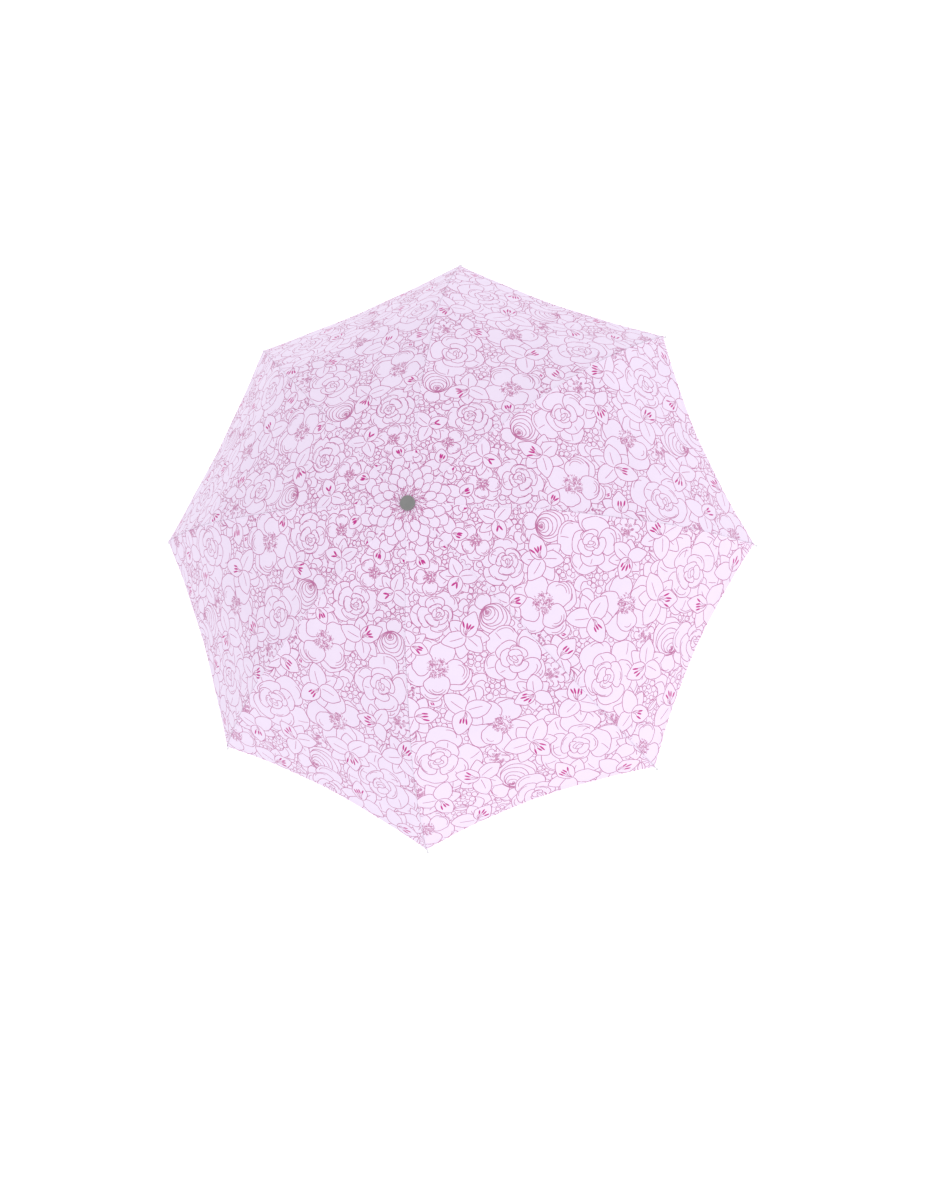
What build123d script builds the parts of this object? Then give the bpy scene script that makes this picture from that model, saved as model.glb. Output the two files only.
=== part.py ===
"""A three-section folding umbrella with eight ribs, standing open on its handle's end.

Millimetres, +Z up. The origin is the centre of the handle's bottom face, and the shaft is the Z axis.
The ribs lie in planes through the Z axis, 45 degrees apart, the first one over +X.
Each rib folds like a Z: the inner section swings down, the middle one back up, the outer one down again.
"""

from build123d import *
from dataclasses import dataclass
from math import atan2, cos, degrees, hypot, pi, radians, sin, tan
import os

# ---------------------------------------------------------------- driving dimensions
RIBS = 8
RIB_STEP = 360 / RIBS
HALF_GORE = RIB_STEP / 2

# shaft: three tubes that slide into each other, the widest one on top
HANDLE_LENGTH = 62
VISIBLE_TUBE = 164
UPPER_TUBE_LENGTH = 217
TUBE_OVERLAP = 30
TUBE_WALL = 0.6
UPPER_TUBE_RADIUS = 7.0
MIDDLE_TUBE_RADIUS = 6.1
LOWER_TUBE_RADIUS = 5.2
BUSH_HEIGHT = 6
CROWN_BELOW_TUBE_TOP = 5

LOWER_TUBE_BOTTOM = 12
MIDDLE_TUBE_BOTTOM = HANDLE_LENGTH + VISIBLE_TUBE
UPPER_TUBE_BOTTOM = MIDDLE_TUBE_BOTTOM + VISIBLE_TUBE
UPPER_TUBE_TOP = UPPER_TUBE_BOTTOM + UPPER_TUBE_LENGTH
CROWN_Z = UPPER_TUBE_TOP - CROWN_BELOW_TUBE_TOP

# ribs: slopes are degrees below the horizontal, at the start and at the end of a section
HINGE_RADIUS = 10.0
INNER_LENGTH, INNER_SLOPE = 182, 9.1
MIDDLE_LENGTH, MIDDLE_SLOPES = 174, (23.0, 29.0)
OUTER_LENGTH, OUTER_SLOPES = 182, (36.6, 48.6)
CHANNEL_HEIGHT = 3.0
CHANNEL_WIDTH = 3.2
CHANNEL_WALL = 0.6
STRETCHER_HEIGHT = 2.6
TAB_WIDTH = 1.6
FORK_GAP = 2.0
KNEE_OFFSET = 1.8
STRETCHER_AT = 90
STRETCHER_DROP = 3.8
JOINT_SETBACK = 5.0
EYE_RADIUS = 1.8
KNEE_RADIUS = 1.5
PIN_RADIUS = 0.6
PIN_HOLE_RADIUS = 0.7
RIVET_HEAD_RADIUS = 1.1
RIVET_HEAD = 0.4
ROD_RADIUS = 1.3
TIP_RADIUS = 1.9
TIP_COVER, TIP_PAST = 8, 10

# crown and runner
SLOT_WIDTH = 3.8
BARREL_RADIUS = 7.9
CROWN_RADIUS = 12.5
RUNNER_RADIUS = 11.5
RUNNER_BORE = 7.3
WIRE_RADIUS = 0.6
WIRE_GROOVE_DEPTH_RADIUS = 9.3
WIRE_GROOVE_HEIGHT = 1.4

# cloth
CLOTH = 0.5
CLOTH_LIFT = 4.0
CLOTH_LIFT_AT_TIP = 2.8
CLOTH_TOP = 7.8
CLOTH_HOLE_RADIUS = 5.0
CLOTH_GAP = 0.1
HEM_SCOOP = 13.0
CAP_RADIUS = 10.75
CAP_HEIGHT = 5.2
CAP_FLAT = 3.0

# handle
HANDLE_RADIUS = 15.0
HANDLE_WALL = 2.2
GRIP_RING_Z = 38.0
GRIP_RING_WIDTH, GRIP_RING_DEPTH = 2.0, 0.8
END_CAP_HEIGHT = 9
BUTTON_Z = 48
BUTTON_WIDTH, BUTTON_TALL = 11, 15
BUTTON_PROUD = 1.6
BUTTON_GAP = 0.3
STRAP_HOLE_RADIUS = 1.6

PARTS = "parts"
os.makedirs(PARTS, exist_ok=True)


# ---------------------------------------------------------------- helpers
@dataclass
class Bar:
    """The centre line of a rib section in the rib's own plane: x is the distance from the shaft, y is height."""

    x: float
    y: float
    slope_start: float
    slope_end: float
    length: float

    def slope(self, along):
        return self.slope_start + (self.slope_end - self.slope_start) * along / self.length

    def point(self, along, above=0.0):
        """The point this far along the centre line, moved square to it, with plus upwards."""
        start, here = radians(self.slope_start), radians(self.slope(along))
        if abs(here - start) < 1e-9:
            x, y = self.x + along * cos(start), self.y - along * sin(start)
        else:
            bend = (here - start) / along
            x = self.x + (sin(here) - sin(start)) / bend
            y = self.y + (cos(here) - cos(start)) / bend
        return (x + above * sin(here), y + above * cos(here))


def save(shape, name):
    """Writes one node's STEP file."""
    shape.label = name
    export_step(shape, f"{PARTS}/{name}.step")


def save_round_the_ribs(shape, name):
    """Writes a copy of a piece of the first rib for each of the ribs."""
    for index in range(RIBS):
        save(shape.moved(Location((0, 0, 0), (0, 0, RIB_STEP * index))), f"{name}_{index + 1}")


def strip(bar, first, last, low, high):
    """Side view of a bar from one station to another, between two heights over its centre line."""
    middle = (first + last) / 2
    with BuildSketch(Plane.XZ) as drawn:
        with BuildLine():
            for above in (low, high):
                ends = bar.point(first, above), bar.point(last, above)
                if bar.slope_start == bar.slope_end:
                    Line(*ends)
                else:
                    ThreePointArc(ends[0], bar.point(middle, above), ends[1])
            for along in (first, last):
                Line(bar.point(along, low), bar.point(along, high))
        make_face()
    return drawn.sketch


def plate(corners, centre, radius):
    """Side view of a flat tab: a polygon with a round end."""
    with BuildSketch(Plane.XZ) as drawn:
        with BuildLine():
            Polyline(*corners, close=True)
        make_face()
        with Locations(centre):
            Circle(radius)
    return drawn.sketch


def disc(centre, radius):
    """Side view of a round bar across the rib's plane."""
    with BuildSketch(Plane.XZ) as drawn:
        with Locations(centre):
            Circle(radius)
    return drawn.sketch


def rivet(centre):
    """A headed pin across the rib's plane."""
    with BuildPart() as pin:
        extrude(disc(centre, PIN_RADIUS), amount=CHANNEL_WIDTH / 2, both=True)
        extrude(disc(centre, RIVET_HEAD_RADIUS), amount=CHANNEL_WIDTH / 2 + RIVET_HEAD, both=True)
        extrude(disc(centre, 2 * RIVET_HEAD_RADIUS), amount=CHANNEL_WIDTH / 2, both=True, mode=Mode.SUBTRACT)
        extrude(disc(centre, PIN_RADIUS), amount=CHANNEL_WIDTH / 2, both=True)
    return pin.part


def pipe(radius, bottom, height, wall=TUBE_WALL):
    """A round tube on the Z axis."""
    with BuildPart() as made:
        with BuildSketch(Plane.XY.offset(bottom)):
            Circle(radius)
            Circle(radius - wall, mode=Mode.SUBTRACT)
        extrude(amount=height)
    return made.part


# ---------------------------------------------------------------- rib centre lines at rest
inner_bar = Bar(HINGE_RADIUS, CROWN_Z, INNER_SLOPE, INNER_SLOPE, INNER_LENGTH)
knee_inner = inner_bar.point(INNER_LENGTH, KNEE_OFFSET)
middle_start = (
    knee_inner[0] - KNEE_OFFSET * sin(radians(MIDDLE_SLOPES[0])),
    knee_inner[1] - KNEE_OFFSET * cos(radians(MIDDLE_SLOPES[0])),
)
middle_bar = Bar(*middle_start, *MIDDLE_SLOPES, MIDDLE_LENGTH)
knee_outer = middle_bar.point(MIDDLE_LENGTH, -KNEE_OFFSET)
outer_start = (
    knee_outer[0] + KNEE_OFFSET * sin(radians(OUTER_SLOPES[0])),
    knee_outer[1] + KNEE_OFFSET * cos(radians(OUTER_SLOPES[0])),
)
outer_bar = Bar(*outer_start, *OUTER_SLOPES, OUTER_LENGTH)

# The stretcher is as long as the crown hinge is from its rivet, so its foot runs straight down the shaft.
stretcher_pivot = inner_bar.point(STRETCHER_AT, -STRETCHER_DROP)
stretcher_length = hypot(stretcher_pivot[0] - HINGE_RADIUS, stretcher_pivot[1] - CROWN_Z)
stretcher_rise = degrees(atan2(CROWN_Z - stretcher_pivot[1], stretcher_pivot[0] - HINGE_RADIUS))
RUNNER_Z = CROWN_Z - 2 * stretcher_length * sin(radians(stretcher_rise))
stretcher_bar = Bar(HINGE_RADIUS, RUNNER_Z, -stretcher_rise, -stretcher_rise, stretcher_length)

half_channel = CHANNEL_HEIGHT / 2
half_width = CHANNEL_WIDTH / 2
half_stretcher = STRETCHER_HEIGHT / 2
web = CHANNEL_WALL

# ---------------------------------------------------------------- inner rib: crown to first knee
with BuildPart() as rib_inner:
    channel_end = INNER_LENGTH - JOINT_SETBACK
    extrude(strip(inner_bar, JOINT_SETBACK, channel_end, -half_channel, half_channel), half_width, both=True)
    extrude(
        strip(inner_bar, JOINT_SETBACK, channel_end, -half_channel, half_channel - web),
        FORK_GAP / 2,
        both=True,
        mode=Mode.SUBTRACT,
    )
    hinge_tab = plate(
        [inner_bar.point(*p) for p in ((0, -EYE_RADIUS), (9, -1), (9, half_channel), (0, EYE_RADIUS))],
        inner_bar.point(0),
        EYE_RADIUS,
    )
    stretcher_lug = plate(
        [
            inner_bar.point(STRETCHER_AT + along, above)
            for along, above in ((-EYE_RADIUS, -STRETCHER_DROP), (-4, 1), (4, 1), (EYE_RADIUS, -STRETCHER_DROP))
        ],
        stretcher_pivot,
        EYE_RADIUS,
    )
    knee_tab = plate(
        [
            inner_bar.point(INNER_LENGTH + along, above)
            for along, above in ((0, KNEE_OFFSET - KNEE_RADIUS), (-9, -1), (-9, 1.2), (-4, half_channel),
                                 (0, KNEE_OFFSET + KNEE_RADIUS))
        ],
        knee_inner,
        KNEE_RADIUS,
    )
    for tab in (hinge_tab, stretcher_lug, knee_tab):
        extrude(tab, TAB_WIDTH / 2, both=True)
    for hole in (inner_bar.point(0), stretcher_pivot, knee_inner):
        extrude(disc(hole, PIN_HOLE_RADIUS), CHANNEL_WIDTH, both=True, mode=Mode.SUBTRACT)
save_round_the_ribs(rib_inner.part, "rib_inner")

# ---------------------------------------------------------------- stretcher: runner to inner rib
with BuildPart() as stretcher:
    extrude(
        strip(stretcher_bar, JOINT_SETBACK, stretcher_length, -half_stretcher, half_stretcher),
        half_width,
        both=True,
    )
    extrude(disc(stretcher_pivot, half_stretcher), half_width, both=True)
    extrude(
        strip(stretcher_bar, JOINT_SETBACK, stretcher_length - JOINT_SETBACK, web - half_stretcher, half_stretcher),
        FORK_GAP / 2,
        both=True,
        mode=Mode.SUBTRACT,
    )
    extrude(
        strip(stretcher_bar, stretcher_length - JOINT_SETBACK, stretcher_length + 3, -2, 2),
        FORK_GAP / 2,
        both=True,
        mode=Mode.SUBTRACT,
    )
    foot = plate(
        [stretcher_bar.point(*p) for p in ((0, -EYE_RADIUS), (9, -half_stretcher), (9, 0.8), (0, EYE_RADIUS))],
        stretcher_bar.point(0),
        EYE_RADIUS,
    )
    extrude(foot, TAB_WIDTH / 2, both=True)
    extrude(disc(stretcher_bar.point(0), PIN_HOLE_RADIUS), CHANNEL_WIDTH, both=True, mode=Mode.SUBTRACT)
    extrude(disc(stretcher_pivot, PIN_RADIUS), CHANNEL_WIDTH, both=True, mode=Mode.SUBTRACT)
save_round_the_ribs(Compound(children=[stretcher.part, rivet(stretcher_pivot)]), "stretcher")

# ---------------------------------------------------------------- middle rib: first knee to second knee
with BuildPart() as rib_middle:
    channel_end = MIDDLE_LENGTH - JOINT_SETBACK
    extrude(strip(middle_bar, 0, channel_end, -half_channel, half_channel), half_width, both=True)
    fork = plate(
        [middle_bar.point(*p) for p in ((0, 0), (4, half_channel), (0, KNEE_OFFSET + KNEE_RADIUS))],
        knee_inner,
        KNEE_RADIUS,
    )
    extrude(fork, half_width, both=True)
    extrude(
        strip(middle_bar, JOINT_SETBACK, channel_end, -half_channel, half_channel - web),
        FORK_GAP / 2,
        both=True,
        mode=Mode.SUBTRACT,
    )
    extrude(strip(middle_bar, -4, JOINT_SETBACK, -5, 5), FORK_GAP / 2, both=True, mode=Mode.SUBTRACT)
    knee_tab = plate(
        [
            middle_bar.point(MIDDLE_LENGTH + along, above)
            for along, above in ((0, KNEE_RADIUS - KNEE_OFFSET), (-9, 1.2), (-9, -1), (-4, -half_channel),
                                 (0, -KNEE_OFFSET - KNEE_RADIUS))
        ],
        knee_outer,
        KNEE_RADIUS,
    )
    extrude(knee_tab, TAB_WIDTH / 2, both=True)
    extrude(disc(knee_outer, PIN_HOLE_RADIUS), CHANNEL_WIDTH, both=True, mode=Mode.SUBTRACT)
    extrude(disc(knee_inner, PIN_RADIUS), CHANNEL_WIDTH, both=True, mode=Mode.SUBTRACT)
save_round_the_ribs(Compound(children=[rib_middle.part, rivet(knee_inner)]), "rib_middle")

# ---------------------------------------------------------------- outer rib: forked ferrule, glass-fibre rod, tip
FERRULE_END = 18
ROD_START = 6
FERRULE_HALF_HEIGHT = 1.6
with BuildPart() as ferrule:
    extrude(strip(outer_bar, 0, FERRULE_END, -FERRULE_HALF_HEIGHT, FERRULE_HALF_HEIGHT), half_width, both=True)
    fork = plate(
        [outer_bar.point(*p) for p in ((0, 0), (4, -half_channel), (0, -KNEE_OFFSET - KNEE_RADIUS))],
        knee_outer,
        KNEE_RADIUS,
    )
    extrude(fork, half_width, both=True)
    extrude(strip(outer_bar, -4, JOINT_SETBACK, -5, 5), FORK_GAP / 2, both=True, mode=Mode.SUBTRACT)
    extrude(disc(knee_outer, PIN_RADIUS), CHANNEL_WIDTH, both=True, mode=Mode.SUBTRACT)


def rod_path(first, last):
    """The outer rib's centre line between two stations, as an arc in space."""
    with BuildLine(Plane.XZ) as drawn:
        ThreePointArc(
            outer_bar.point(first), outer_bar.point((first + last) / 2), outer_bar.point(last)
        )
    return drawn.line


def round_bar(first, last, radius, hollow=0.0):
    """A round bar or sleeve along the outer rib's centre line."""
    path = rod_path(first, last)
    with BuildPart() as made:
        with BuildSketch(Plane(origin=path @ 0, z_dir=path % 0)):
            Circle(radius)
            if hollow:
                Circle(hollow, mode=Mode.SUBTRACT)
        sweep(path=path)
    return made.part


rod = round_bar(ROD_START, OUTER_LENGTH, ROD_RADIUS)
rod_bore = round_bar(ROD_START, FERRULE_END + 1, ROD_RADIUS)
with BuildPart() as bored_ferrule:
    add(ferrule.part)
    add(rod_bore, mode=Mode.SUBTRACT)
tip_end = outer_bar.point(OUTER_LENGTH + TIP_PAST)
with BuildPart() as tip:
    add(round_bar(OUTER_LENGTH - TIP_COVER, OUTER_LENGTH, TIP_RADIUS, ROD_RADIUS))
    add(round_bar(OUTER_LENGTH, OUTER_LENGTH + TIP_PAST, ROD_RADIUS))
    with Locations((tip_end[0], 0, tip_end[1])):
        Sphere(TIP_RADIUS)
save_round_the_ribs(
    Compound(children=[bored_ferrule.part, rod, rivet(knee_outer), tip.part]), "rib_outer"
)

# ---------------------------------------------------------------- shaft
save(pipe(UPPER_TUBE_RADIUS, UPPER_TUBE_BOTTOM, UPPER_TUBE_LENGTH), "tube_upper")
save(pipe(MIDDLE_TUBE_RADIUS, MIDDLE_TUBE_BOTTOM, VISIBLE_TUBE + TUBE_OVERLAP), "tube_middle")
save(
    pipe(LOWER_TUBE_RADIUS, LOWER_TUBE_BOTTOM, MIDDLE_TUBE_BOTTOM + TUBE_OVERLAP - LOWER_TUBE_BOTTOM),
    "tube_lower",
)
for name, radius, bottom in (
    ("bush_upper", UPPER_TUBE_RADIUS, UPPER_TUBE_BOTTOM),
    ("bush_middle", MIDDLE_TUBE_RADIUS, MIDDLE_TUBE_BOTTOM),
):
    with BuildPart() as bush:
        with BuildSketch(Plane.XY.offset(bottom)):
            Circle(radius + 1.1)
            Circle(radius, mode=Mode.SUBTRACT)
        extrude(amount=BUSH_HEIGHT)
        chamfer(bush.edges().group_by(Axis.Z)[-1].sort_by(SortBy.RADIUS)[-1], 0.5)
    save(bush.part, name)

# The drive spring pushes the tubes apart when the button lets them go.
SPRING_RADIUS, SPRING_WIRE, SPRING_TURNS = 3.4, 0.6, 40
SPRING_BOTTOM = LOWER_TUBE_BOTTOM + SPRING_WIRE
SPRING_HEIGHT = UPPER_TUBE_TOP - SPRING_WIRE - SPRING_BOTTOM
with BuildPart() as main_spring:
    with BuildLine():
        coil = Helix(SPRING_HEIGHT / SPRING_TURNS, SPRING_HEIGHT, SPRING_RADIUS, center=(0, 0, SPRING_BOTTOM))
    with BuildSketch(Plane(origin=coil @ 0, z_dir=coil % 0)):
        Circle(SPRING_WIRE)
    sweep(path=coil, is_frenet=True)
save(main_spring.part, "main_spring")

# ---------------------------------------------------------------- crown, its hinge wire, and the cap
CROWN_SKIRT, CROWN_TOOTH, CROWN_TOP = 12, 4, 6.9
STEM_RADIUS, STEM_TOP = 3.0, 11.5
with BuildPart() as crown:
    with BuildSketch(Plane.XZ):
        with BuildLine():
            Polyline(
                (UPPER_TUBE_RADIUS, CROWN_Z - CROWN_SKIRT),
                (BARREL_RADIUS, CROWN_Z - CROWN_SKIRT),
                (BARREL_RADIUS, CROWN_Z - CROWN_TOOTH),
                (CROWN_RADIUS, CROWN_Z - CROWN_TOOTH),
                (CROWN_RADIUS, CROWN_Z + CROWN_TOP),
                (STEM_RADIUS, CROWN_Z + CROWN_TOP),
                (STEM_RADIUS, CROWN_Z + STEM_TOP),
                (0, CROWN_Z + STEM_TOP),
                (0, UPPER_TUBE_TOP),
                (UPPER_TUBE_RADIUS, UPPER_TUBE_TOP),
                close=True,
            )
        make_face()
    revolve(axis=Axis.Z)
    with PolarLocations(0, RIBS):
        with Locations(((BARREL_RADIUS + 2 * CROWN_RADIUS) / 2, 0, CROWN_Z)):
            Box(2 * CROWN_RADIUS - BARREL_RADIUS, SLOT_WIDTH, 2 * CROWN_TOOTH, mode=Mode.SUBTRACT)
    with BuildSketch(Plane.XY.offset(CROWN_Z - WIRE_GROOVE_HEIGHT / 2)):
        Circle(CROWN_RADIUS + 1)
        Circle(WIRE_GROOVE_DEPTH_RADIUS, mode=Mode.SUBTRACT)
    extrude(amount=WIRE_GROOVE_HEIGHT, mode=Mode.SUBTRACT)
save(crown.part, "crown")

with BuildPart() as crown_wire:
    with Locations((0, 0, CROWN_Z)):
        Torus(HINGE_RADIUS, WIRE_RADIUS)
save(crown_wire.part, "crown_wire")

CAP_BOTTOM = CROWN_Z + CLOTH_TOP + 0.2
with BuildPart() as cap:
    with BuildSketch(Plane.XZ):
        with BuildLine():
            Polyline(
                (STEM_RADIUS, CAP_BOTTOM),
                (CAP_RADIUS, CAP_BOTTOM),
                (CAP_RADIUS, CAP_BOTTOM + CAP_HEIGHT * 0.6),
                (CAP_RADIUS - 0.8, CAP_BOTTOM + CAP_HEIGHT * 0.8),
            )
            ThreePointArc(
                (CAP_RADIUS - 0.8, CAP_BOTTOM + CAP_HEIGHT * 0.8),
                (CAP_RADIUS * 0.6, CAP_BOTTOM + CAP_HEIGHT * 0.93),
                (CAP_FLAT, CAP_BOTTOM + CAP_HEIGHT),
            )
            Polyline(
                (CAP_FLAT, CAP_BOTTOM + CAP_HEIGHT),
                (0, CAP_BOTTOM + CAP_HEIGHT),
                (0, CROWN_Z + STEM_TOP),
                (STEM_RADIUS, CROWN_Z + STEM_TOP),
                (STEM_RADIUS, CAP_BOTTOM),
            )
        make_face()
    revolve(axis=Axis.Z)
save(cap.part, "cap")

# ---------------------------------------------------------------- runner and its hinge wire
RUNNER_ABOVE, RUNNER_BELOW = 4, 18
with BuildPart() as runner:
    with BuildSketch(Plane.XY.offset(RUNNER_Z - RUNNER_BELOW)):
        Circle(RUNNER_RADIUS)
        Circle(RUNNER_BORE, mode=Mode.SUBTRACT)
    extrude(amount=RUNNER_ABOVE + RUNNER_BELOW)
    chamfer(runner.edges().filter_by(GeomType.CIRCLE).group_by(SortBy.RADIUS)[-1], 0.8)
    with PolarLocations(0, RIBS):
        with Locations(((BARREL_RADIUS + 2 * RUNNER_RADIUS) / 2, 0, RUNNER_Z - RUNNER_BELOW / 2)):
            Box(2 * RUNNER_RADIUS - BARREL_RADIUS, SLOT_WIDTH, 3 * RUNNER_BELOW, mode=Mode.SUBTRACT)
    with BuildSketch(Plane.XY.offset(RUNNER_Z - WIRE_GROOVE_HEIGHT / 2)):
        Circle(RUNNER_RADIUS + 1)
        Circle(WIRE_GROOVE_DEPTH_RADIUS, mode=Mode.SUBTRACT)
    extrude(amount=WIRE_GROOVE_HEIGHT, mode=Mode.SUBTRACT)
save(runner.part, "runner")

# The linkage is opened where the stretchers' feet meet this wire, so it is drawn only between the slots.
with BuildPart() as runner_wire:
    with Locations((0, 0, RUNNER_Z)):
        Torus(HINGE_RADIUS, WIRE_RADIUS)
    with PolarLocations(0, RIBS):
        with Locations((HINGE_RADIUS, 0, RUNNER_Z)):
            Box(4, SLOT_WIDTH, 4, mode=Mode.SUBTRACT)
save(runner_wire.part, "runner_wire")

# ---------------------------------------------------------------- cloth: eight gores, each level from rib to rib
squeeze = cos(radians(HALF_GORE))
tip_lift_line = [
    (CROWN_RADIUS + 0.5, CROWN_Z + CLOTH_TOP),
    middle_bar.point(0, CLOTH_LIFT + 0.4),
    middle_bar.point(MIDDLE_LENGTH / 2, CLOTH_LIFT),
    middle_bar.point(MIDDLE_LENGTH, CLOTH_LIFT),
    outer_bar.point(OUTER_LENGTH / 2, CLOTH_LIFT),
    outer_bar.point(OUTER_LENGTH, CLOTH_LIFT_AT_TIP),
]
corner_radius = tip_lift_line[-1][0]


def gore_line(drop):
    """The gore's section through its middle: level under the cap, straight, then two arcs to the hem."""
    crown_edge, *points = [(r * squeeze, z - drop) for r, z in tip_lift_line]
    return crown_edge, points, (CLOTH_HOLE_RADIUS * squeeze, CROWN_Z + CLOTH_TOP - drop)


def gore_section(drop, thick):
    """The closed section of a sheet that lies this far under the cloth's top face."""
    with BuildSketch(Plane.XZ) as drawn:
        with BuildLine():
            for level in (drop, drop + thick):
                edge, (first, second, third, fourth, last), hole = gore_line(level)
                Line(hole, edge)
                Line(edge, first)
                ThreePointArc(first, second, third)
                ThreePointArc(third, fourth, last)
            top, bottom = gore_line(drop), gore_line(drop + thick)
            Line(top[2], bottom[2])
            Line(top[1][-1], bottom[1][-1])
        make_face()
    return drawn.sketch


corner = (corner_radius * squeeze, corner_radius * sin(radians(HALF_GORE)) - CLOTH_GAP)
with BuildPart() as gore:
    extrude(gore_section(0, CLOTH), corner_radius, both=True)
    with BuildSketch():
        with BuildLine():
            Polyline((corner[0], corner[1]), (CLOTH_GAP * 3, 0), (corner[0], -corner[1]))
            ThreePointArc((corner[0], -corner[1]), (corner[0] - HEM_SCOOP, 0), corner)
        make_face()
    extrude(amount=2 * CROWN_Z, mode=Mode.INTERSECT)
for index in range(RIBS):
    turned = Location((0, 0, 0), (0, 0, RIB_STEP * index + HALF_GORE))
    save(gore.part.moved(turned), f"gore_{index + 1}")

# The closing strap lies flat under the hem of one gore.
STRAP_GORE = 6
STRAP_WIDTH, STRAP_THICK, STRAP_DROP = 18, 1.2, 1.3
STRAP_FROM, STRAP_TO = 326, 430
with BuildPart() as tie_strap:
    extrude(gore_section(STRAP_DROP, STRAP_THICK), STRAP_WIDTH / 2, both=True)
    with BuildSketch():
        with Locations(((STRAP_FROM + STRAP_TO) / 2, 0)):
            Rectangle(STRAP_TO - STRAP_FROM, STRAP_WIDTH)
    extrude(amount=2 * CROWN_Z, mode=Mode.INTERSECT)
save(
    tie_strap.part.moved(Location((0, 0, 0), (0, 0, RIB_STEP * (STRAP_GORE - 1) + HALF_GORE))), "tie_strap"
)

# ---------------------------------------------------------------- handle
button_plane = Plane(origin=(0, 0, BUTTON_Z), x_dir=(1, 0, 0), z_dir=(0, -1, 0))
INNER_RADIUS = HANDLE_RADIUS - HANDLE_WALL
BUTTON_CORNER = 3
with BuildPart() as handle_shell:
    with BuildSketch(Plane.XY.offset(END_CAP_HEIGHT)):
        Circle(HANDLE_RADIUS)
    extrude(amount=HANDLE_LENGTH - END_CAP_HEIGHT)
    fillet(handle_shell.edges().group_by(Axis.Z)[-1], 2.5)
    with BuildSketch(Plane.XY.offset(END_CAP_HEIGHT)):
        Circle(INNER_RADIUS)
    extrude(amount=HANDLE_LENGTH - END_CAP_HEIGHT - 3, mode=Mode.SUBTRACT)
    with BuildSketch(Plane.XY.offset(HANDLE_LENGTH - 4)):
        Circle(LOWER_TUBE_RADIUS + 0.4)
    extrude(amount=5, mode=Mode.SUBTRACT)
    with BuildSketch(button_plane):
        RectangleRounded(BUTTON_WIDTH + 2 * BUTTON_GAP, BUTTON_TALL + 2 * BUTTON_GAP, BUTTON_CORNER)
    extrude(amount=HANDLE_RADIUS + 2, mode=Mode.SUBTRACT)
    # A shallow ring under the button marks where the hand stops.
    with BuildSketch(Plane.XY.offset(GRIP_RING_Z - GRIP_RING_WIDTH / 2)):
        Circle(HANDLE_RADIUS + 1)
        Circle(HANDLE_RADIUS - GRIP_RING_DEPTH, mode=Mode.SUBTRACT)
    extrude(amount=GRIP_RING_WIDTH, mode=Mode.SUBTRACT)
save(handle_shell.part, "handle_shell")

CORE_RADIUS = INNER_RADIUS
CORE_TOP = HANDLE_LENGTH - 3
POCKET_DEPTH = -5.8
POCKET_WIDTH, POCKET_TALL = 16, 20
with BuildPart() as handle_core:
    with BuildSketch(Plane.XY.offset(END_CAP_HEIGHT)):
        Circle(CORE_RADIUS)
    extrude(amount=CORE_TOP - END_CAP_HEIGHT)
    with BuildSketch(Plane.XY.offset(LOWER_TUBE_BOTTOM)):
        Circle(LOWER_TUBE_RADIUS)
    extrude(amount=HANDLE_LENGTH, mode=Mode.SUBTRACT)
    with Locations((0, POCKET_DEPTH - CORE_RADIUS / 2, BUTTON_Z)):
        Box(POCKET_WIDTH, CORE_RADIUS, POCKET_TALL, mode=Mode.SUBTRACT)
save(handle_core.part, "handle_core")

with BuildPart() as end_cap:
    with BuildSketch():
        Circle(HANDLE_RADIUS)
    extrude(amount=END_CAP_HEIGHT)
    fillet(end_cap.edges().group_by(Axis.Z)[0], 1.5)
    with BuildSketch(Plane.XZ):
        with Locations((0, END_CAP_HEIGHT / 2)):
            Circle(STRAP_HOLE_RADIUS)
    extrude(amount=2 * HANDLE_RADIUS, both=True, mode=Mode.SUBTRACT)
save(end_cap.part, "handle_end_cap")

# The button's flange is wider than its window, and its spring pushes it out against the shell.
FLANGE_FROM, FLANGE_THICK = 9.6, 1.2
FLANGE_SIDE = 2.0
SEAT_DEPTH = 0.8
with BuildPart() as button:
    with BuildSketch(button_plane.offset(FLANGE_FROM)):
        RectangleRounded(BUTTON_WIDTH, BUTTON_TALL, BUTTON_CORNER - BUTTON_GAP)
    extrude(amount=HANDLE_RADIUS + BUTTON_PROUD - FLANGE_FROM)
    fillet(button.edges().group_by(Axis.Y)[0], 1.0)
    with BuildSketch(button_plane.offset(FLANGE_FROM)):
        RectangleRounded(BUTTON_WIDTH + 2 * 1.0, BUTTON_TALL + 2 * FLANGE_SIDE, BUTTON_CORNER)
    extrude(amount=FLANGE_THICK)
    with BuildSketch(button_plane.offset(FLANGE_FROM)):
        Circle(3.4)
    extrude(amount=SEAT_DEPTH, mode=Mode.SUBTRACT)
save(button.part, "button")

COIL_RADIUS, COIL_WIRE = 2.6, 0.3
coil_from = -POCKET_DEPTH + COIL_WIRE
coil_to = FLANGE_FROM + SEAT_DEPTH - COIL_WIRE
COIL_TURNS = 4
with BuildPart() as button_spring:
    with BuildLine():
        spring_line = Helix(
            (coil_to - coil_from) / COIL_TURNS,
            coil_to - coil_from,
            COIL_RADIUS,
            center=(0, -coil_from, BUTTON_Z),
            direction=(0, -1, 0),
        )
    with BuildSketch(Plane(origin=spring_line @ 0, z_dir=spring_line % 0)):
        Circle(COIL_WIRE)
    sweep(path=spring_line, is_frenet=True)
save(button_spring.part, "button_spring")
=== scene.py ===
import math

import bpy
import numpy as np
from mathutils import Matrix, Vector
from mathutils.geometry import delaunay_2d_cdt


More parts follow.
